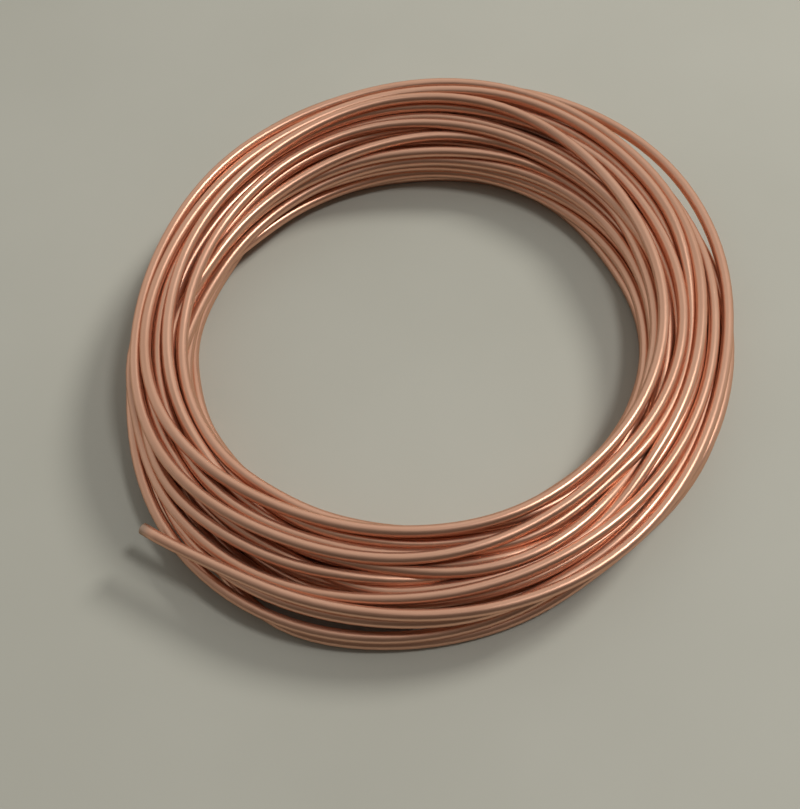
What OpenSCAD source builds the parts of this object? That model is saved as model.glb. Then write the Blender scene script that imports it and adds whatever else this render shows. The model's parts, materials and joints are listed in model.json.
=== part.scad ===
// Hand-wound coil of soft copper tube, lying flat.
// The wound turns are one turned solid around the coil's eye, with the round
// of each turn showing on its ends and its outside. The tube's free end runs
// off the outside of the coil and is cut square, with the tube's bore open.
// Origin: on the floor under the centre of the eye, +Z up along the coil's axis.

/* [Tube] */
// Outside diameter of the tube
tube_od = 3; // [2.5:0.1:3.2]
// Wall of the tube
tube_wall = 0.5; // [0.3:0.05:0.9]

/* [Coil] */
// Diameter of the eye in the middle of the coil
eye_d = 112; // [80:1:160]
// Distance between neighbouring turns across the coil
turn_step = 3.7; // [3.2:0.05:4]
// Height from one layer of turns to the next
layer_step = 3.3; // [3.2:0.05:4]
// Turns in the bottom layer
bottom_turns = 7; // [6:1:9]
// Number of layers
layers = 6; // [5:1:7]

/* [Free end] */
// Layer of turns, counted from 0 at the floor, that the free end runs off
end_layer = 3; // [2:1:4]
// Direction from the axis at which the free end runs off the coil
end_angle = 243; // [200:1:260]
// Length of the straight run off the coil
end_run = 33; // [26:1:40]
// Radius of the slight bend after it
end_bend_r = 30; // [20:1:60]
// Angle of that bend, following the round of the coil
end_bend = 7; // [3:1:10]
// Length of the straight tip, up to the cut
tip_length = 10; // [9:1:14]
// Depth of the open bore in the tip
tip_bore_depth = 8; // [5:0.5:8.5]

/* [Hidden] */
$fn = 96;
tube_r = tube_od / 2;
bore_r = tube_r - tube_wall;
eye_r = eye_d / 2;
bend_proud = 0.05;
bend_lap = 0.6;
coil_h = tube_od + (layers - 1) * layer_step;
// Turns in layer k: the upper layers are narrower, stepping in on the outside
function turns_in(k) = bottom_turns - floor(k / 2) - (k == layers - 1 ? 1 : 0);
// Centre of turn i in layer k, counted from the eye
function turn_at(k, i) = [eye_r + tube_r + i * turn_step, tube_r + k * layer_step];
// Centre of the free end where it runs off, just inside the outermost turn
end_turn = turn_at(end_layer, turns_in(end_layer) - 1) + [-0.4, 0.5];

// Section through the wound turns: every turn's round, filled between them
module coil_section() {
    polygon(concat(
        [[eye_r, tube_r], [eye_r, coil_h - tube_r]],
        [for (i = [0 : turns_in(layers - 1) - 1]) turn_at(layers - 1, i)],
        [for (k = [layers - 2 : -1 : 0]) turn_at(k, turns_in(k) - 1)]
    ));
    for (k = [0 : layers - 1], i = [0 : turns_in(k) - 1])
        translate(turn_at(k, i)) circle(r = tube_r);
}

// Places its children where the free end runs off, with +Z along the tube
module at_free_end() {
    rotate([0, 0, end_angle])
        translate([end_turn[0], 0, end_turn[1]])
            rotate([90, 0, 0])
                children();
}

// Places its children at the start of the straight tip, with +Z along the tube
module at_tip() {
    at_free_end()
        translate([-end_bend_r, 0, end_run])
            rotate([0, -end_bend, 0])
                translate([end_bend_r, 0, 0])
                    children();
}

// The free end: the run off the coil, the slight bend and the straight tip.
// The bend stands a hair proud of both straights, which reach a little into it.
module free_end() {
    at_free_end() cylinder(r = tube_r, h = end_run + bend_lap);
    at_free_end()
        translate([-end_bend_r, 0, end_run])
            rotate([90, 0, 0])
                rotate_extrude(angle = end_bend)
                    translate([end_bend_r, 0]) circle(r = tube_r + bend_proud);
    at_tip() translate([0, 0, -bend_lap]) cylinder(r = tube_r, h = tip_length + bend_lap);
}

module tube_coil() {
    color([0.72, 0.45, 0.36])
        difference() {
            union() {
                for (q = [0 : 3])
                    rotate([0, 0, 90 * q]) rotate_extrude(angle = 90) coil_section();
                free_end();
            }
            at_tip()
                translate([0, 0, tip_length - tip_bore_depth])
                    cylinder(r = bore_r, h = tip_bore_depth + 1);
        }
}

tube_coil();
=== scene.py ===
# Coil of soft copper tube, lying flat: one tube, wound turn on turn around an open eye.
import json
import math
import bpy
import numpy as np
from mathutils import Matrix, Vector
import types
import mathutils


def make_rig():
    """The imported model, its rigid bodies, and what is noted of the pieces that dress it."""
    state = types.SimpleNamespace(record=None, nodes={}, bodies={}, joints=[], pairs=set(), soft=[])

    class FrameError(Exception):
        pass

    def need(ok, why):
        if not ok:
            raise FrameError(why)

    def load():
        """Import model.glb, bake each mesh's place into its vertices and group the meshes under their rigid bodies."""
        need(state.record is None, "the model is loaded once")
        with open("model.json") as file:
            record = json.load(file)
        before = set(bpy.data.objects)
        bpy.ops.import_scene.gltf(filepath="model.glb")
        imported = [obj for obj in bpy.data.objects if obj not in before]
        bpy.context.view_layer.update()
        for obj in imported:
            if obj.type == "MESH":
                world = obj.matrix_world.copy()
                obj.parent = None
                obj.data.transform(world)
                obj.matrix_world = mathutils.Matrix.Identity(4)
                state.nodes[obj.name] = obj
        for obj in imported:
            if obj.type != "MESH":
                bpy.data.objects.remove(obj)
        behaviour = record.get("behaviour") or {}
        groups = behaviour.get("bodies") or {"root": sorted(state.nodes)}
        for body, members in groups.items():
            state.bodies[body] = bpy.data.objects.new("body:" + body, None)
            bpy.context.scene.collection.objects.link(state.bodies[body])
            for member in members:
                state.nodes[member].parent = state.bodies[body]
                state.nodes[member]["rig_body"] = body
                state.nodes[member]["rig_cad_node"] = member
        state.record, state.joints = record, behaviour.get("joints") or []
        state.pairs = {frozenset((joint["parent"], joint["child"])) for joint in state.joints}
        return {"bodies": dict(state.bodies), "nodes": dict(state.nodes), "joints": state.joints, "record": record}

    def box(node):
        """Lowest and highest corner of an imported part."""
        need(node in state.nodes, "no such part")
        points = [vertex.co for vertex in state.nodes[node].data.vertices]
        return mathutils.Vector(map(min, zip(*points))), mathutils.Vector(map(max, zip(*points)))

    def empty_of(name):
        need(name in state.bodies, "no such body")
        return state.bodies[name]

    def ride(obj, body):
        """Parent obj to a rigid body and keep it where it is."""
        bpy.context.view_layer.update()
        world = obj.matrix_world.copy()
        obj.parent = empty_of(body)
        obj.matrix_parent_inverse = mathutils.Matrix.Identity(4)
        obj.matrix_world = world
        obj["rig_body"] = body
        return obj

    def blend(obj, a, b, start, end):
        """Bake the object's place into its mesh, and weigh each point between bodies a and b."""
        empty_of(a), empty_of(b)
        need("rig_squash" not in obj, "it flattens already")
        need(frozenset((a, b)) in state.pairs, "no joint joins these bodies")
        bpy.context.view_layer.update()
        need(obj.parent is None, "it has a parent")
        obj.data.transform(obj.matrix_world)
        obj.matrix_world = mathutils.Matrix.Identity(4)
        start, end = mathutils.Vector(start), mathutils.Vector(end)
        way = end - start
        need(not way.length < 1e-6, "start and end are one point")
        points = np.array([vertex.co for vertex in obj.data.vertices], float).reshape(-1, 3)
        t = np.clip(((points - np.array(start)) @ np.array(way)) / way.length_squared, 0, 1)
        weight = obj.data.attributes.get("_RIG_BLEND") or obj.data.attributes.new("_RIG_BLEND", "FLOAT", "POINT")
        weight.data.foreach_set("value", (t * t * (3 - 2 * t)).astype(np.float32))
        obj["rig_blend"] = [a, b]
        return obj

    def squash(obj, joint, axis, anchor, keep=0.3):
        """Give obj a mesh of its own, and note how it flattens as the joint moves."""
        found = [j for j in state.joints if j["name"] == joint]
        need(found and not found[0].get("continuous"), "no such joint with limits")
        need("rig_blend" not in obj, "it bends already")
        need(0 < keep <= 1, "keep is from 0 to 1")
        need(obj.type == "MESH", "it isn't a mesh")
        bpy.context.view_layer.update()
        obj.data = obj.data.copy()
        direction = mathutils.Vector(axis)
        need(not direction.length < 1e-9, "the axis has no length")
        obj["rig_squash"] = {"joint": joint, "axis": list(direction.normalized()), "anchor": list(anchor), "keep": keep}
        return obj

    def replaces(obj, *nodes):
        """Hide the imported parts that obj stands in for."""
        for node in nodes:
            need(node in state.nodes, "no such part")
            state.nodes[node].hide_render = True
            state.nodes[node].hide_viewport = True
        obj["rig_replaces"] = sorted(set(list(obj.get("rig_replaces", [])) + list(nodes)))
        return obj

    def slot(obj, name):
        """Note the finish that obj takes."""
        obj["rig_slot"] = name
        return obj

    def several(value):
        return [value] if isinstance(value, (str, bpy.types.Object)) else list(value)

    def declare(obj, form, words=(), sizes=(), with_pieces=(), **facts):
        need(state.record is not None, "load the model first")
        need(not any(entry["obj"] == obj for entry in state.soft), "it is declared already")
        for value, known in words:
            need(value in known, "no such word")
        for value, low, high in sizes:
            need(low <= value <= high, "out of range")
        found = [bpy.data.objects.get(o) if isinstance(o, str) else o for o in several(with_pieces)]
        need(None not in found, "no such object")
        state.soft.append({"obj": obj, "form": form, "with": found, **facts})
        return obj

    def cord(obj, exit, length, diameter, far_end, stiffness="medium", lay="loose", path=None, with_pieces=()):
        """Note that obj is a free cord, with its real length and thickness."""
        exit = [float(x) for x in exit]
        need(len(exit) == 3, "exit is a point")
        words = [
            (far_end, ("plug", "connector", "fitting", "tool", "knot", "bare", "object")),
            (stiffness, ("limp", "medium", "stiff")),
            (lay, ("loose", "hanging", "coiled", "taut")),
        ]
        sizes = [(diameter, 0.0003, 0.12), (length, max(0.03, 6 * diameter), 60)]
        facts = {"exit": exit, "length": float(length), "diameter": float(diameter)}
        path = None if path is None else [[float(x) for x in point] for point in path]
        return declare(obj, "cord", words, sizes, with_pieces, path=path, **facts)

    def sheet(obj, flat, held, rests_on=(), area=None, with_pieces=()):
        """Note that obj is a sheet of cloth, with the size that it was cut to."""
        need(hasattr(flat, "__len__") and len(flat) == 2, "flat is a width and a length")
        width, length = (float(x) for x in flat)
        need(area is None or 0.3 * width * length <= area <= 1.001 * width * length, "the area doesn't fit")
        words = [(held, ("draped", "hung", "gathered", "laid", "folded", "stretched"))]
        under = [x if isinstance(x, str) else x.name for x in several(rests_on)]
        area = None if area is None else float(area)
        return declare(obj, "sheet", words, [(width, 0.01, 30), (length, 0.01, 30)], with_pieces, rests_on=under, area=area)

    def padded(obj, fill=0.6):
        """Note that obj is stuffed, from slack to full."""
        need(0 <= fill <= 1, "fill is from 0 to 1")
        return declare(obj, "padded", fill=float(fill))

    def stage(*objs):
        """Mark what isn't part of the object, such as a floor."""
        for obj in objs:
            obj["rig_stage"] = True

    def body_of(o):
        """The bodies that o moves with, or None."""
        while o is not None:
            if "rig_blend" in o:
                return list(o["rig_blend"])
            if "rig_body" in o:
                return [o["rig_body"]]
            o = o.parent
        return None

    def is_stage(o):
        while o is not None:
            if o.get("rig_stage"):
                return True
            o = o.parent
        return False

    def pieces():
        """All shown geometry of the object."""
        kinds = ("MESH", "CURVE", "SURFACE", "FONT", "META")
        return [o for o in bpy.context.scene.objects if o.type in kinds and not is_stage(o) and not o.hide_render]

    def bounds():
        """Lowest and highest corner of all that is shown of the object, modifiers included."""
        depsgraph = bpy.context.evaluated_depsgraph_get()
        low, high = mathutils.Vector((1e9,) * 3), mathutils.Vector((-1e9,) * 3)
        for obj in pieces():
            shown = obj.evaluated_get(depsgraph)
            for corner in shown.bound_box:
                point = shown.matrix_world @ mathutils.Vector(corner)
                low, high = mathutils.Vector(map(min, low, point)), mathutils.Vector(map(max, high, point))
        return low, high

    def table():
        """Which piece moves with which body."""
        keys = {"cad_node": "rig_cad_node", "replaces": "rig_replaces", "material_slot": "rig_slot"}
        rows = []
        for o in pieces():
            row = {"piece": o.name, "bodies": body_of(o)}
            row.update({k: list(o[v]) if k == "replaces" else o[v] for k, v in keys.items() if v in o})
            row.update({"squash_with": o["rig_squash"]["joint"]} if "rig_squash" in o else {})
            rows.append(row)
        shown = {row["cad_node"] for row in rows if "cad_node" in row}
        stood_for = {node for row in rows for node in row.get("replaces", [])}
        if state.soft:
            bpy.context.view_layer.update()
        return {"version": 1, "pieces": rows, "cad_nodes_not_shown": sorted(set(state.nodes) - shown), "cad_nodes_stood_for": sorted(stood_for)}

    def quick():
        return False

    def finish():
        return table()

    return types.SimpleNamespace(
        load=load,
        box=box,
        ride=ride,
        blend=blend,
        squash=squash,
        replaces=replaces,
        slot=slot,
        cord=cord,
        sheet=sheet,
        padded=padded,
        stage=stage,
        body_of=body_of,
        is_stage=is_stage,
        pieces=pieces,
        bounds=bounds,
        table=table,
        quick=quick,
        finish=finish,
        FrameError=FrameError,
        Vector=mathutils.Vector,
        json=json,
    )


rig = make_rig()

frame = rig.load()
cad_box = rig.bounds()

TD = 0.003            # outside diameter of the tube
BORE = 0.002          # inside diameter
TURNS = 36            # times the tube goes round
STATIONS = 90         # sections around the coil in which the turns settle
RINGS = 120           # rings of the mesh in a turn
SIDES = 16            # sides of the mesh

# ---------------------------------------------------------------- camera
# Lengths here are in tube diameters. The eye looks down on the coil at 63.8 degrees, rolled 8.
PITCH, ROLL, AWAY = math.radians(63.8), math.radians(8.0), 98.0
AIM = np.array([-2.85, -4.95, 0.0])
look = np.array([0.0, math.cos(PITCH), -math.sin(PITCH)])
flat_up = np.array([0.0, math.sin(PITCH), math.cos(PITCH)])
flat_right = np.array([1.0, 0.0, 0.0])
right = flat_right * math.cos(ROLL) - flat_up * math.sin(ROLL)
up = flat_up * math.cos(ROLL) + flat_right * math.sin(ROLL)
EYE = AIM - AWAY * look

cam = bpy.data.objects.new("camera", bpy.data.cameras.new("camera"))
bpy.context.scene.collection.objects.link(cam)
cam.data.sensor_fit = "VERTICAL"
cam.data.sensor_height = 36.0
cam.data.lens = 1100.0 * 36.0 / 809.0
cam.data.clip_start = 0.01
turn = Matrix([right, up, -look]).transposed().to_4x4()
cam.matrix_world = Matrix.Translation(Vector(EYE * TD)) @ turn
bpy.context.scene.camera = cam

# ---------------------------------------------------------------- route of the tube
# Stretches that show from above, each as (angle around the axis in degrees, distance from the
# axis, height of the centre), in tube diameters.
LOOP = [(210.5, 29.2, 4.0), (213, 28.6, 4.0), (217, 27.9, 4.0), (221, 27.2, 4.1), (227, 26.6, 4.2), (233, 26.3, 4.3), (240, 26.1, 4.4), (250, 25.7, 4.5), (260, 25.6, 4.5),
        (270, 25.6, 4.4), (280, 25.7, 4.4), (290, 25.8, 4.3), (300, 25.8, 4.2), (310, 25.7, 4.1), (320, 25.6, 3.9),
        (330, 25.6, 3.8), (340, 25.8, 3.7), (350, 26.3, 3.5), (360, 27.1, 3.3), (370, 27.9, 3.2), (380, 28.6, 3.1),
        (390, 29.2, 3.0), (400, 29.3, 3.1), (410, 29.1, 3.2), (420, 28.9, 3.3), (425, 28.8, 3.4)]
LOOP_DOWN = [(531, 25.7, 2.7), (540, 26.0, 2.6), (550, 26.5, 2.5), (560, 27.2, 2.4), (570, 27.8, 2.3), (580, 28.0, 2.2),
             (590, 28.0, 2.0), (600, 27.7, 1.7), (610, 27.1, 1.4), (620, 26.5, 1.1), (630, 25.8, 0.8), (640, 25.4, 0.6)]
GROUND = [(232, 28.4, 1.8), (240, 28.1, 1.6), (250, 27.5, 1.3), (260, 26.9, 1.0), (270, 26.4, 0.7), (280, 25.9, 0.5),
          (290, 25.6, 0.5)]
UNDER_TAIL = [(218, 27.1, 3.0), (224, 27.0, 3.1), (230, 26.8, 3.3), (240, 26.5, 3.4), (250, 26.1, 3.5), (260, 25.9, 3.5),
              (270, 25.8, 3.4), (280, 25.5, 3.2)]
SHOULDER = [(202, 26.4, 3.2), (210, 26.3, 3.3), (220, 26.2, 3.6), (230, 25.9, 3.8), (240, 25.3, 4.1), (250, 24.7, 4.2),
            (260, 24.2, 4.3), (270, 23.9, 4.4), (280, 23.7, 4.4), (290, 23.6, 4.4), (300, 23.6, 4.3), (310, 23.8, 4.2),
            (320, 24.0, 4.2), (330, 24.3, 4.0), (340, 24.7, 4.0), (350, 25.1, 3.9), (360, 25.7, 3.8), (369, 26.3, 3.6)]
TOP_OUTER = [(316, 22.5, 4.5), (320, 22.6, 4.5), (330, 22.9, 4.6), (340, 23.4, 4.6), (350, 23.9, 4.6), (360, 24.5, 4.6),
             (370, 25.3, 4.7), (380, 25.9, 4.8), (390, 26.3, 4.9), (400, 26.6, 4.9), (410, 27.0, 5.0), (420, 27.2, 5.0),
             (430, 27.2, 5.1), (440, 27.0, 5.2), (450, 26.6, 5.2), (460, 26.2, 5.3), (470, 26.0, 5.3), (480, 25.9, 5.4),
             (490, 25.8, 5.4), (500, 25.4, 5.5), (510, 25.1, 5.5), (520, 24.9, 5.6), (530, 24.9, 5.6), (540, 25.0, 5.6),
             (550, 25.1, 5.5), (560, 24.9, 5.5), (570, 24.3, 5.6), (580, 23.4, 5.5), (590, 22.6, 5.5), (600, 22.0, 5.3),
             (610, 21.6, 5.2), (620, 21.2, 5.0), (630, 20.9, 5.0), (640, 20.6, 4.9), (650, 20.3, 4.8), (660, 20.3, 4.8),
             (670, 20.4, 4.7), (680, 20.8, 4.7), (690, 21.3, 4.7), (700, 21.9, 4.7), (710, 22.4, 4.8), (720, 22.8, 4.8),
             (730, 23.1, 4.8), (740, 23.3, 4.8), (750, 23.7, 4.8), (760, 24.2, 4.8)]
TOP_INNER = [(1, 23.7, 4.8), (10, 24.3, 5.1), (20, 24.9, 5.3), (30, 25.2, 5.3), (40, 25.5, 5.4), (50, 25.8, 5.5),
             (60, 26.0, 5.5), (70, 25.9, 5.6), (80, 25.6, 5.6), (90, 25.3, 5.7), (100, 24.8, 5.8), (110, 24.4, 5.8),
             (120, 24.2, 5.9), (130, 24.1, 5.9), (140, 23.9, 6.0), (150, 23.8, 6.0), (160, 23.9, 6.0), (170, 24.1, 6.0),
             (180, 24.1, 6.0), (190, 23.8, 6.0), (200, 23.1, 6.0), (210, 22.1, 5.9), (220, 21.1, 5.7), (230, 20.3, 5.5),
             (240, 19.7, 5.5), (250, 19.3, 5.4), (260, 19.1, 5.4), (270, 19.0, 5.3), (280, 19.1, 5.3), (290, 19.1, 5.2),
             (300, 19.1, 5.1), (310, 19.2, 5.0), (320, 19.5, 4.9), (330, 19.9, 4.9), (340, 20.3, 5.0), (350, 20.7, 5.1),
             (360, 21.1, 5.2), (370, 21.4, 5.3), (380, 21.7, 5.4), (390, 22.2, 5.5), (400, 22.8, 5.6), (410, 23.4, 5.7),
             (420, 24.1, 5.9), (430, 24.4, 6.0), (440, 24.4, 6.1), (450, 24.2, 6.3), (460, 23.8, 6.3), (470, 23.3, 6.4),
             (480, 22.9, 6.4), (490, 22.7, 6.4), (500, 22.5, 6.4), (510, 22.4, 6.4), (520, 22.2, 6.3), (530, 22.1, 6.3),
             (540, 22.0, 6.2), (550, 22.0, 6.0), (560, 21.8, 5.8), (566, 21.6, 5.6)]
LEFT_CROSS = [(205, 25.7, 4.4), (210, 25.5, 4.5), (220, 24.8, 4.6), (230, 24.2, 4.5), (240, 23.6, 4.4), (250, 22.9, 4.3)]
FAR_UPPER = [(24, 21.5, 4.6), (30, 21.5, 4.7), (40, 21.6, 4.7), (50, 21.7, 4.8), (60, 21.9, 4.9), (70, 22.0, 4.9),
             (80, 22.2, 5.0), (90, 22.3, 5.1), (100, 22.3, 5.2), (110, 22.1, 5.2), (120, 21.8, 5.3), (130, 21.4, 5.4),
             (140, 21.2, 5.4), (150, 21.0, 5.5), (160, 20.9, 5.5), (170, 20.9, 5.4), (180, 21.0, 5.4), (190, 21.0, 5.3),
             (200, 20.8, 5.1), (210, 20.5, 4.9), (220, 19.9, 4.7)]
FAR_LOWER = [(24, 21.3, 4.3), (40, 21.2, 4.4), (60, 21.1, 4.7), (70, 21.0, 4.8), (80, 20.8, 4.8), (90, 20.4, 4.8),
             (100, 20.1, 4.8), (110, 19.9, 4.8), (120, 19.8, 4.8), (130, 19.9, 4.8), (140, 20.1, 4.8), (150, 20.4, 4.7),
             (156, 20.6, 4.6)]
NEAR_MID = [(262, 22.1, 4.5), (270, 22.4, 4.5), (280, 22.6, 4.5), (290, 22.5, 4.4), (300, 22.2, 4.3), (310, 21.8, 4.1),
            (320, 21.6, 3.8)]
NEAR_SHORT = [(310, 22.8, 4.2), (320, 23.1, 4.2)]
FAR_SHORT = [(111, 21.4, 4.9), (120, 21.2, 4.9), (130, 21.0, 4.9), (140, 20.7, 4.9), (146, 20.6, 4.9)]
WALL_HIGH = [(-10, 20.1, 3.0), (0, 20.3, 3.1), (10, 20.3, 3.1), (30, 20.3, 3.1), (40, 20.1, 3.2), (50, 19.8, 3.2),
             (60, 19.5, 3.2), (70, 19.3, 3.1), (85, 19.2, 3.1), (100, 19.3, 3.0), (110, 19.4, 2.9), (120, 19.5, 2.9),
             (130, 19.7, 2.8), (140, 19.8, 2.9), (150, 20.0, 3.0), (160, 20.3, 3.1), (164, 20.4, 3.2)]
WALL_LOW = [(-10, 19.6, 1.6), (0, 19.8, 1.6), (10, 19.8, 1.7), (20, 19.6, 1.7), (30, 19.5, 1.6), (40, 19.3, 1.5),
            (50, 19.3, 1.4), (60, 19.3, 1.4), (70, 19.2, 1.4), (100, 19.1, 1.3), (110, 19.2, 1.3), (120, 19.4, 1.4),
            (130, 19.6, 1.6), (140, 19.8, 1.8)]
WALL_TOP = [(53, 20.5, 4.0), (60, 20.1, 4.0), (70, 19.7, 4.0), (85, 19.5, 3.9), (100, 19.6, 3.9), (115, 19.9, 3.8)]
WALL_FOOT = [(3, 19.7, 0.5), (12, 19.5, 0.5), (22, 19.4, 0.5), (30, 19.5, 0.5), (38, 19.8, 0.5), (48, 20.0, 0.5),
             (60, 19.9, 0.5), (70, 19.6, 0.5), (80, 19.35, 0.5), (90, 19.3, 0.5), (110, 19.8, 0.5), (125, 20.4, 0.5)]
WALL_MID = [(45, 19.7, 2.3), (60, 19.4, 2.3), (80, 19.3, 2.2), (100, 19.4, 2.2), (115, 19.8, 2.2)]

# The tube from its free end inwards: the stretches above, joined by stretches that lie under them.
route = []


def seen(points, base):
    route.extend((a + base, r, z, 1) for a, r, z in points)


def under(base, *points):
    route.extend((a + base, r, z, 0) for a, r, z in points)


seen(LOOP, 0)
under(360, (90, 27.1, 3.6), (115, 26.2, 3.3), (140, 25.3, 2.9), (158, 25.2, 2.6))
seen(LOOP_DOWN, 0)
under(720, (-60, 25.8, 0.5), (0, 26.4, 0.5), (90, 26.6, 0.5), (150, 25.6, 0.5), (180, 25.9, 0.5), (200, 26.7, 0.5), (215, 27.5, 0.5))
seen(GROUND, 720)
under(1080, (-40, 25.4, 0.8), (0, 26.0, 1.2), (60, 26.6, 1.8), (120, 25.9, 2.2), (160, 25.4, 2.5), (180, 25.8, 2.7), (195, 26.5, 2.9), (208, 27.0, 2.9))
seen(UNDER_TAIL, 1080)
under(1440, (-60, 25.0, 2.6), (-30, 25.2, 2.4), (0, 25.8, 2.5), (60, 26.4, 2.7), (120, 25.8, 3.0), (150, 24.4, 3.4), (166, 24.3, 3.4), (186, 25.1, 3.3))
seen(SHOULDER, 1440)
under(1800, (30, 26.5, 3.7), (60, 26.6, 3.8), (100, 25.9, 4.2), (150, 25.2, 4.4), (180, 24.8, 4.4), (210, 24.0, 4.2), (240, 22.8, 3.8), (270, 23.0, 3.4), (295, 23.0, 3.6), (307, 22.7, 4.1))
seen(TOP_OUTER, 1800)
under(2520, (80, 24.6, 4.7), (120, 23.4, 5.0), (180, 23.1, 5.2), (210, 22.6, 4.8), (240, 21.0, 4.4), (270, 20.2, 4.3), (300, 20.6, 4.0), (330, 22.0, 3.9))
seen(TOP_INNER, 2880)
under(3240, (230, 21.3, 4.6), (270, 21.6, 3.8), (330, 22.6, 3.6))
under(3600, (30, 24.0, 3.9), (90, 24.9, 4.6), (150, 25.3, 4.5), (180, 25.6, 4.4))
seen(LEFT_CROSS, 3600)
under(3600, (290, 21.7, 3.9), (330, 21.3, 3.8))
seen(FAR_UPPER, 3960)
under(3960, (260, 19.9, 4.3), (300, 20.2, 3.8), (340, 20.9, 3.8))
seen(FAR_LOWER, 4320)
under(4320, (180, 21.3, 4.5), (220, 22.1, 4.4), (240, 22.1, 4.4))
seen(NEAR_MID, 4320)
under(4680, (0, 22.4, 3.8), (90, 23.3, 4.3), (180, 22.8, 4.4), (240, 22.9, 3.8), (280, 22.8, 3.8))
seen(NEAR_SHORT, 4680)
under(5040, (0, 23.3, 3.8), (60, 22.9, 4.3))
seen(FAR_SHORT, 5040)
under(5040, (180, 21.3, 4.3), (240, 20.4, 3.8), (300, 20.1, 3.2))
WALL_FROM = 5380      # from here on the stretches that show are those of the eye's wall
seen(WALL_HIGH, 5400)
under(5400, (184, 21.5, 3.1), (206, 21.1, 3.0), (260, 19.7, 2.6), (320, 19.6, 2.0))
seen(WALL_LOW, 5760)
under(5760, (160, 20.8, 2.0), (182, 21.6, 2.2), (206, 21.1, 2.5), (240, 20.3, 2.8), (300, 20.6, 3.0))
under(6120, (0, 21.0, 3.4))
seen(WALL_TOP, 6120)
under(6120, (110, 19.9, 3.7), (140, 20.6, 3.0), (180, 21.7, 2.2), (206, 21.4, 1.9), (240, 20.6, 1.6), (300, 19.9, 1.0))
seen(WALL_FOOT, 6480)
under(6480, (160, 21.7, 0.5), (184, 22.0, 0.5), (206, 21.3, 0.6), (260, 19.8, 0.9), (320, 19.9, 1.3))
under(6840, (10, 20.2, 1.9))
seen(WALL_MID, 6840)

# Inner and outer edge of the heap of turns, by angle, and the hidden layers that fill it from the
# floor up: (turns, height, place across the heap at the first and the last turn)
EDGE_AT = np.arange(0, 361, 30)
INNER = np.array([20.3, 19.9, 19.7, 19.5, 20.3, 21.4, 21.7, 20.3, 19.5, 19.2, 19.4, 19.9, 20.3])
OUTER = np.array([26.4, 26.9, 27.0, 26.8, 26.1, 25.1, 25.1, 25.8, 25.3, 23.9, 24.3, 25.5, 26.4])
LAYERS = [(6, 0.5, 0.1, 1.0), (6, 1.36, 1.0, 0.02), (6, 2.22, 0.1, 0.98), (5, 3.08, 0.92, 0.1)]


def smooth(v, sigma, ends={"mode": "edge"}):
    """v blurred along the tube, sigma in stations."""
    n = int(3 * sigma + 1)
    k = np.exp(-0.5 * (np.arange(-n, n + 1) / sigma) ** 2)
    k /= k.sum()
    if v.ndim == 1:
        return np.convolve(np.pad(v, n, **ends), k, "valid")
    return np.stack([np.convolve(np.pad(c, n, **ends), k, "valid") for c in v.T], 1)


def laid_route():
    """The tube as first laid: station numbers, angles, (distance, height) and which stations show."""
    first = route[0][0]
    idx = np.arange(int(TURNS * STATIONS) + 1)
    th = first + idx * 360.0 / STATIONS
    at = np.array([p[0] for p in route], float)
    rho = np.interp(th, at, [p[1] for p in route])
    z = np.interp(th, at, [p[2] for p in route])
    shown = np.zeros(len(th))
    for a, b in zip(route[:-1], route[1:]):
        if a[3] and b[3] and b[0] - a[0] <= 40:
            shown[(th >= a[0] - 1e-6) & (th <= b[0] + 1e-6)] = 1
    last = route[-1][0]
    across = np.concatenate([np.linspace(u0, u1, n) for n, h, u0, u1 in LAYERS])
    high = np.concatenate([np.full(n, h) for n, h, u0, u1 in LAYERS])
    q = (th - last - 150) / 360
    u = np.interp(q, np.arange(len(across)), across)
    h = np.interp(q, np.arange(len(high)), high)
    t = np.radians(th)
    sway = 0.30 * np.sin(1.31 * t + 2.1 * q) + 0.22 * np.sin(2.17 * t + 3.1)
    inner = np.interp(np.mod(th, 360), EDGE_AT, INNER)
    outer = np.interp(np.mod(th, 360), EDGE_AT, OUTER)
    fill = inner + u * (outer - inner) + sway * np.where(h > 0.6, 1.0, 0.7)
    w = np.clip((th - last) / 150, 0, 1)
    w = w * w * (3 - 2 * w)
    deep = th > last
    rho = np.where(deep, route[-1][1] * (1 - w) + fill * w, rho)
    z = np.where(deep, route[-1][2] * (1 - w) + h * w, z)
    return idx, th, smooth(np.stack([rho, z], 1), 1.6, {"mode": "reflect", "reflect_type": "odd"}), shown


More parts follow.
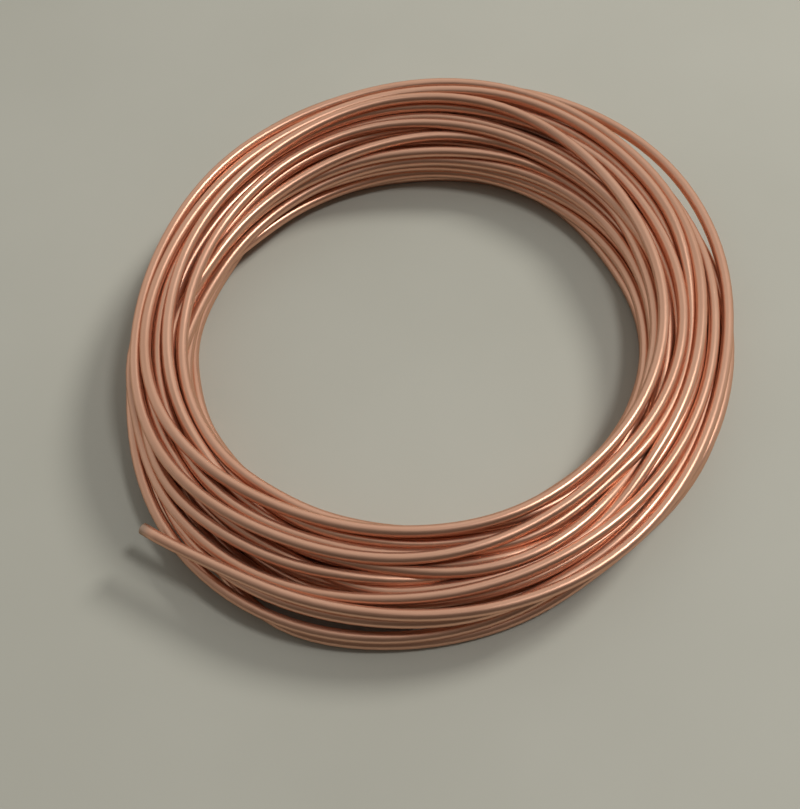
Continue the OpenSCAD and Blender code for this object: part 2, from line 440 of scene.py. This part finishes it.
def settled(rounds):
    """Lets the turns settle: no two closer than a diameter, nothing under the floor, hidden turns packed
    close under the ones that show, which keep their line from the eye and about their height."""
    idx, th, p, shown = laid_route()
    turns = idx[-1] // STATIONS + 1
    row, col = idx // STATIONS, idx % STATIONS
    p0 = p.copy()
    t = np.radians(th)
    x, y, z = p[:, 0] * np.cos(t) - EYE[0], p[:, 0] * np.sin(t) - EYE[1], p[:, 1] - EYE[2]
    slant = (x * np.cos(t) + y * np.sin(t)) / z
    s = smooth(shown, 1.2)
    hid = 1 - s
    weight = np.zeros((STATIONS, turns)); weight[col, row] = 1.0 - 0.75 * s
    there = np.zeros((STATIONS, turns), bool); there[col, row] = True
    show = np.zeros((STATIONS, turns)); show[col, row] = shown > 0
    pair = there[:, :, None] & there[:, None, :] & ~np.eye(turns, dtype=bool)[None]
    share = weight[:, :, None] / np.maximum(weight[:, :, None] + weight[:, None, :], 1e-9)
    k = np.arange(turns)
    above = np.sign(k[None, :] - k[:, None]).astype(float)[None]
    differ = show[:, :, None] - show[:, None, :]
    above = np.where(differ != 0, differ, above)
    low = np.interp(np.mod(th, 360), EDGE_AT, INNER) - 0.3
    high = np.interp(np.mod(th, 360), EDGE_AT, OUTER) + 0.5
    grid = np.linspace(18, 30, 121)
    roof = np.zeros((STATIONS, len(grid)))
    for m in range(STATIONS):
        q = np.where((col == m) & (shown > 0) & (th < WALL_FROM))[0]
        q = q[np.argsort(p0[q, 0])]
        roof[m] = np.interp(grid, p0[q, 0], p0[q, 1])
    rise = np.where(p0[:, 1] > 1.9, 0.005, -0.003) * hid - 0.003 * s
    blur = np.exp(-0.5 * (np.arange(-6, 7) / 2.0) ** 2)
    blur /= blur.sum()
    roof = sum(b * np.roll(roof, j, axis=0) for b, j in zip(blur, range(-6, 7)))
    for n in range(rounds):
        f = n / rounds
        grid_p = np.zeros((STATIONS, turns, 2))
        grid_p[col, row] = p
        d = grid_p[:, :, None, :] - grid_p[:, None, :, :]
        dist = np.sqrt((d ** 2).sum(-1)) + 1e-9
        over = np.where(pair, np.maximum(0, 1.005 - dist), 0)
        dz = d[..., 1] + above * over
        size = np.sqrt(d[..., 0] ** 2 + dz ** 2) + 1e-9
        push = over * share / size
        step = np.stack([(push * d[..., 0]).sum(2), (push * dz).sum(2)], -1)[col, row]
        step[:, 1] += rise * (1.0 if f < 0.6 else (1 - f) / 0.4)
        step[:, 0] += s * 0.25 * (p0[:, 0] + slant * (p[:, 1] - p0[:, 1]) - p[:, 0])
        step[:, 1] += s * 0.02 * (p0[:, 1] - p[:, 1])
        step[:, 0] += hid * 0.002 * (p0[:, 0] - p[:, 0])
        step[:, 0] += hid * 0.06 * (np.maximum(0, low - p[:, 0]) - np.maximum(0, p[:, 0] - high))
        at = np.clip(((p[:, 0] - 18) / 0.1).astype(int), 0, len(grid) - 1)
        step[:, 1] -= hid * 0.05 * np.maximum(0, p[:, 1] - np.maximum(roof[col, at] - 0.75, 0.5))
        moved = p - p0 + 1.3 * smooth(step, 2.0)
        moved += 0.05 * (smooth(moved, 2.5) - moved)
        p = p0 + moved
        p[:, 1] = np.maximum(p[:, 1], 0.5)
    return th, p


def centreline():
    """Ring centres along the whole tube, in metres."""
    th, p = settled(300 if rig.quick() else 1300)
    n = len(th) - 1
    want = np.linspace(0, n, int(n * RINGS / STATIONS) + 1)
    i = np.clip(want.astype(int), 0, n - 1)
    f = (want - i)[:, None]
    q = np.concatenate([2 * p[:1] - p[1:2], p, 2 * p[-1:] - p[-2:-1]])
    a, b, c, d = q[i], q[i + 1], q[i + 2], q[i + 3]
    rz = b + 0.5 * f * (c - a + f * (2 * a - 5 * b + 4 * c - d + f * (3 * (b - c) + d - a)))
    t = np.radians(np.interp(want, np.arange(n + 1), th))
    return np.stack([rz[:, 0] * np.cos(t), rz[:, 0] * np.sin(t), np.maximum(rz[:, 1], 0.5)], 1) * TD


def tube_mesh(name, line):
    """One closed tube along line: the outside, and at each cut end its eased edge, face and open bore."""
    tangent = np.gradient(line, axis=0)
    tangent /= np.linalg.norm(tangent, axis=1)[:, None]
    out = line * [1, 1, 0]
    out -= (out * tangent).sum(1)[:, None] * tangent
    out /= np.linalg.norm(out, axis=1)[:, None]
    side = np.cross(tangent, out)
    ang = np.arange(SIDES) * 2 * math.pi / SIDES
    along = np.concatenate([[0], np.cumsum(np.linalg.norm(np.diff(line, axis=0), axis=1))])
    verts, faces, uvs, strips = [], [], [], []
    rows = max(1, int(math.ceil((len(line) - 1) / RINGS))) + 1

    def ring(centre, o, s, r):
        first = len(verts)
        verts.extend(centre + r * (math.cos(a) * o + math.sin(a) * s) for a in ang)
        return first

    def band(a, b, u0, u1, strip, flip=False):
        """Quads between two rings, with their place along the tube and in the flat layout."""
        for j in range(SIDES):
            k = (j + 1) % SIDES
            v0, v1 = j / SIDES, (j + 1) / SIDES
            f = [(a + j, u0, v0, 0), (a + k, u0, v1, 0), (b + k, u1, v1, 1), (b + j, u1, v0, 1)]
            if flip:
                f.reverse()
            faces.append([c[0] for c in f])
            uvs.append([(c[1], c[2] * math.pi * TD) for c in f])
            x0, x1, y = strip
            strips.append([(x1 if c[3] else x0, (y + 0.06 + 0.88 * c[2]) / rows) for c in f])

    ease = 0.06 * TD
    r, rb = TD / 2, BORE / 2
    body = [ring(c, o, s, r) for c, o, s in zip(line[1:-1], out[1:-1], side[1:-1])]
    for n in range(len(body) - 1):
        y, x = divmod(n, RINGS)
        band(body[n], body[n + 1], along[n + 1], along[n + 2], (x / RINGS, (x + 1) / RINGS, y))
    for end, (i, inward, deep) in enumerate(((0, 1, 5), (len(line) - 1, -1, 5))):
        c, t, o, s = line[i], tangent[i], out[i], side[i]
        x = 0.02 + 0.5 * end
        y = rows - 1
        flip = bool(end)
        shoulder = ring(c + inward * ease * t, o, s, r)
        rim = ring(c, o, s, r - ease)
        lip = ring(c, o, s, rb + 0.5 * ease)
        mouth = ring(c + inward * 0.5 * ease * t, o, s, rb)
        at = along[i]
        band(shoulder, body[end and -1], at, at + inward * TD, (x, x + 0.05, y), flip)
        band(rim, shoulder, at - inward * ease, at, (x + 0.05, x + 0.06, y), flip)
        band(lip, rim, at - inward * 0.3 * TD, at - inward * ease, (x + 0.06, x + 0.12, y), flip)
        band(mouth, lip, at - inward * 0.4 * TD, at - inward * 0.3 * TD, (x + 0.12, x + 0.13, y), flip)
        last = mouth
        for n in range(1, deep + 1):
            j = i + inward * n
            nxt = ring(line[j], out[j], side[j], rb)
            band(nxt, last, at - inward * (n + 1) * TD, at - inward * n * TD, (x + 0.13 + 0.03 * n, x + 0.16 + 0.03 * n, y), flip)
            last = nxt
        j = i + inward * deep
        mid = len(verts)
        verts.append(line[j])
        for k in range(SIDES):
            f = [mid, last + (k + 1) % SIDES, last + k]
            if not flip:
                f.reverse()
            faces.append(f)
            uvs.append([(at, 0.0)] * 3)
            a0 = ang[k]
            tri = [(x + 0.4, (y + 0.5) / rows)] + [(x + 0.4 + 0.02 * math.cos(a0 + g), (y + 0.5 + 0.4 * math.sin(a0 + g)) / rows) for g in (0, 2 * math.pi / SIDES)]
            strips.append(tri)
    me = bpy.data.meshes.new(name)
    me.from_pydata([tuple(v) for v in verts], [], faces)
    for layer, data in (("Tube", uvs), ("OFBake", strips)):
        uv = me.uv_layers.new(name=layer)
        uv.data.foreach_set("uv", np.array([c for f in data for c in f], np.float32).ravel())
    me.uv_layers.active = me.uv_layers["Tube"]
    me.polygons.foreach_set("use_smooth", np.ones(len(me.polygons), bool))
    me.update()
    obj = bpy.data.objects.new(name, me)
    bpy.context.scene.collection.objects.link(obj)
    return obj, float(along[-1])


# ---------------------------------------------------------------- materials
def new_material(name):
    m = bpy.data.materials.new(name)
    m.use_nodes = True
    return m, m.node_tree.nodes, m.node_tree.links, m.node_tree.nodes["Principled BSDF"]


def noise(nodes, links, vec, scale, detail, rough=0.5):
    n = nodes.new("ShaderNodeTexNoise")
    n.inputs["Scale"].default_value = scale
    n.inputs["Detail"].default_value = detail
    n.inputs["Roughness"].default_value = rough
    links.new(vec, n.inputs["Vector"])
    return n.outputs["Fac"]


def ramp(nodes, links, fac, *stops):
    r = nodes.new("ShaderNodeValToRGB")
    while len(r.color_ramp.elements) < len(stops):
        r.color_ramp.elements.new(0.5)
    for e, (pos, col) in zip(r.color_ramp.elements, stops):
        e.position = pos
        e.color = (*col, 1.0)
    links.new(fac, r.inputs["Fac"])
    return r.outputs["Color"]


def spread(nodes, links, fac, lo, hi, to_lo, to_hi):
    m = nodes.new("ShaderNodeMapRange")
    for k, v in (("From Min", lo), ("From Max", hi), ("To Min", to_lo), ("To Max", to_hi)):
        m.inputs[k].default_value = v
    links.new(fac, m.inputs["Value"])
    return m.outputs["Result"]


def math_node(nodes, links, op, a, b):
    m = nodes.new("ShaderNodeMath")
    m.operation = op
    for k, v in enumerate((a, b)):
        if isinstance(v, (int, float)):
            m.inputs[k].default_value = v
        else:
            links.new(v, m.inputs[k])
    return m.outputs[0]


def stretched(nodes, links, vec, scale):
    m = nodes.new("ShaderNodeMapping")
    m.inputs["Scale"].default_value = scale
    links.new(vec, m.inputs["Vector"])
    return m.outputs["Vector"]


def copper():
    m, nodes, links, bsdf = new_material("copper")
    uv = nodes.new("ShaderNodeUVMap")
    uv.uv_map = "Tube"
    uv = uv.outputs["UV"]
    lines = noise(nodes, links, stretched(nodes, links, uv, (30, 3600, 1)), 1.0, 3.0, 0.6)
    fine = noise(nodes, links, stretched(nodes, links, uv, (160, 9000, 1)), 1.0, 2.0, 0.5)
    patch = noise(nodes, links, stretched(nodes, links, uv, (22, 120, 1)), 1.0, 3.0, 0.55)
    smear = noise(nodes, links, stretched(nodes, links, uv, (90, 420, 1)), 1.0, 4.0, 0.6)
    tone = math_node(nodes, links, "ADD", math_node(nodes, links, "MULTIPLY", patch, 0.65), math_node(nodes, links, "MULTIPLY", lines, 0.35))
    metal = ramp(nodes, links, tone, (0.30, (0.74, 0.415, 0.285)), (0.50, (0.81, 0.468, 0.33)), (0.70, (0.87, 0.525, 0.38)))
    # Over its last two millimetres, and on the cut face and the bore, the copper is mixed towards a darker grey-brown.
    along = nodes.new("ShaderNodeSeparateXYZ")
    links.new(uv, along.inputs[0])
    cut = spread(nodes, links, along.outputs["X"], 0.0004, 0.0021, 0.75, 0.0)
    tip_darkening = nodes.new("ShaderNodeMix")
    tip_darkening.data_type = "RGBA"
    links.new(cut, tip_darkening.inputs[0])
    links.new(metal, tip_darkening.inputs[6])
    tip_darkening.inputs[7].default_value = (0.33, 0.265, 0.215, 1.0)
    links.new(tip_darkening.outputs[2], bsdf.inputs["Base Color"])
    rough = math_node(nodes, links, "ADD", spread(nodes, links, smear, 0.3, 0.7, 0.29, 0.36), spread(nodes, links, lines, 0.3, 0.7, -0.03, 0.05))
    links.new(rough, bsdf.inputs["Roughness"])
    bsdf.inputs["Metallic"].default_value = 0.9
    bsdf.inputs["Specular Tint"].default_value = (0.92, 0.68, 0.54, 1.0)
    height = math_node(nodes, links, "ADD", lines, math_node(nodes, links, "MULTIPLY", fine, 0.5))
    bump = nodes.new("ShaderNodeBump")
    bump.inputs["Strength"].default_value = 0.10
    bump.inputs["Distance"].default_value = 0.00004
    links.new(height, bump.inputs["Height"])
    links.new(bump.outputs["Normal"], bsdf.inputs["Normal"])
    return m


def pale_floor():
    m, nodes, links, bsdf = new_material("floor")
    co = nodes.new("ShaderNodeTexCoord").outputs["Object"]
    n = noise(nodes, links, co, 9.0, 4.0, 0.55)
    links.new(ramp(nodes, links, n, (0.3, (0.415, 0.417, 0.370)), (0.7, (0.445, 0.447, 0.400))), bsdf.inputs["Base Color"])
    bsdf.inputs["Roughness"].default_value = 0.55
    bsdf.inputs["Specular IOR Level"].default_value = 0.3
    return m


# ---------------------------------------------------------------- the tube
line = centreline()
tube, length = tube_mesh("copper_tube", line)
tube.data.materials.append(copper())
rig.ride(tube, "root")
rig.replaces(tube, "tube_coil")
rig.slot(tube, "copper")
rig.cord(tube, exit=tuple(line[0]), length=round(length, 2), diameter=TD, far_end="bare", stiffness="stiff", lay="coiled", path=[tuple(p) for p in line])

# ---------------------------------------------------------------- floor and light
me = bpy.data.meshes.new("floor")
me.from_pydata([(-2, -2, 0), (2, -2, 0), (2, 2, 0), (-2, 2, 0)], [], [(0, 1, 2, 3)])
floor = bpy.data.objects.new("floor", me)
bpy.context.scene.collection.objects.link(floor)
me.materials.append(pale_floor())
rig.stage(floor)

world = bpy.data.worlds.new("room")
bpy.context.scene.world = world
world.use_nodes = True
wn, wl = world.node_tree.nodes, world.node_tree.links
back = wn["Background"]
lie = wn.new("ShaderNodeSeparateXYZ")
wl.new(wn.new("ShaderNodeTexCoord").outputs["Generated"], lie.inputs[0])
sides = math_node(wn, wl, "MULTIPLY", math_node(wn, wl, "MULTIPLY", lie.outputs["X"], lie.outputs["X"]), 0.42)
ends = math_node(wn, wl, "ADD", math_node(wn, wl, "MULTIPLY", lie.outputs["Y"], 0.68), 0.26)
bright = math_node(wn, wl, "ADD", math_node(wn, wl, "MULTIPLY", lie.outputs["Z"], 0.28), math_node(wn, wl, "ADD", sides, ends))
wl.new(ramp(wn, wl, bright, (0.0, (0.095, 0.077, 0.062)), (0.30, (0.19, 0.166, 0.143)), (0.69, (0.50, 0.482, 0.446)), (0.95, (0.86, 0.835, 0.782))), back.inputs["Color"])
back.inputs["Strength"].default_value = 0.70


def area(name, toward, away, size, power, colour, mirrored=True):
    d = np.array(toward, float)
    d /= np.linalg.norm(d)
    data = bpy.data.lights.new(name, "AREA")
    data.shape = "DISK"
    data.size = size
    data.energy = power
    data.color = colour
    o = bpy.data.objects.new(name, data)
    o.location = d * away
    o.rotation_euler = Vector(-d).to_track_quat("-Z", "Y").to_euler()
    o.visible_glossy = mirrored
    bpy.context.scene.collection.objects.link(o)


area("key", (0.468, 0.020, 0.883), 1.6, 0.30, 6.8, (1.0, 0.975, 0.95))
area("side", (1.2, 0.75, 1.05), 1.8, 0.45, 20.0, (1.0, 0.97, 0.91), mirrored=False)
bpy.context.scene.view_settings.view_transform = "Standard"

if hasattr(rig, "bounds"):
    with open("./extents.json", "w") as f:
        json.dump({"cad": [list(map(float, v)) for v in cad_box], "visual": [list(map(float, v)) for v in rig.bounds()]}, f)
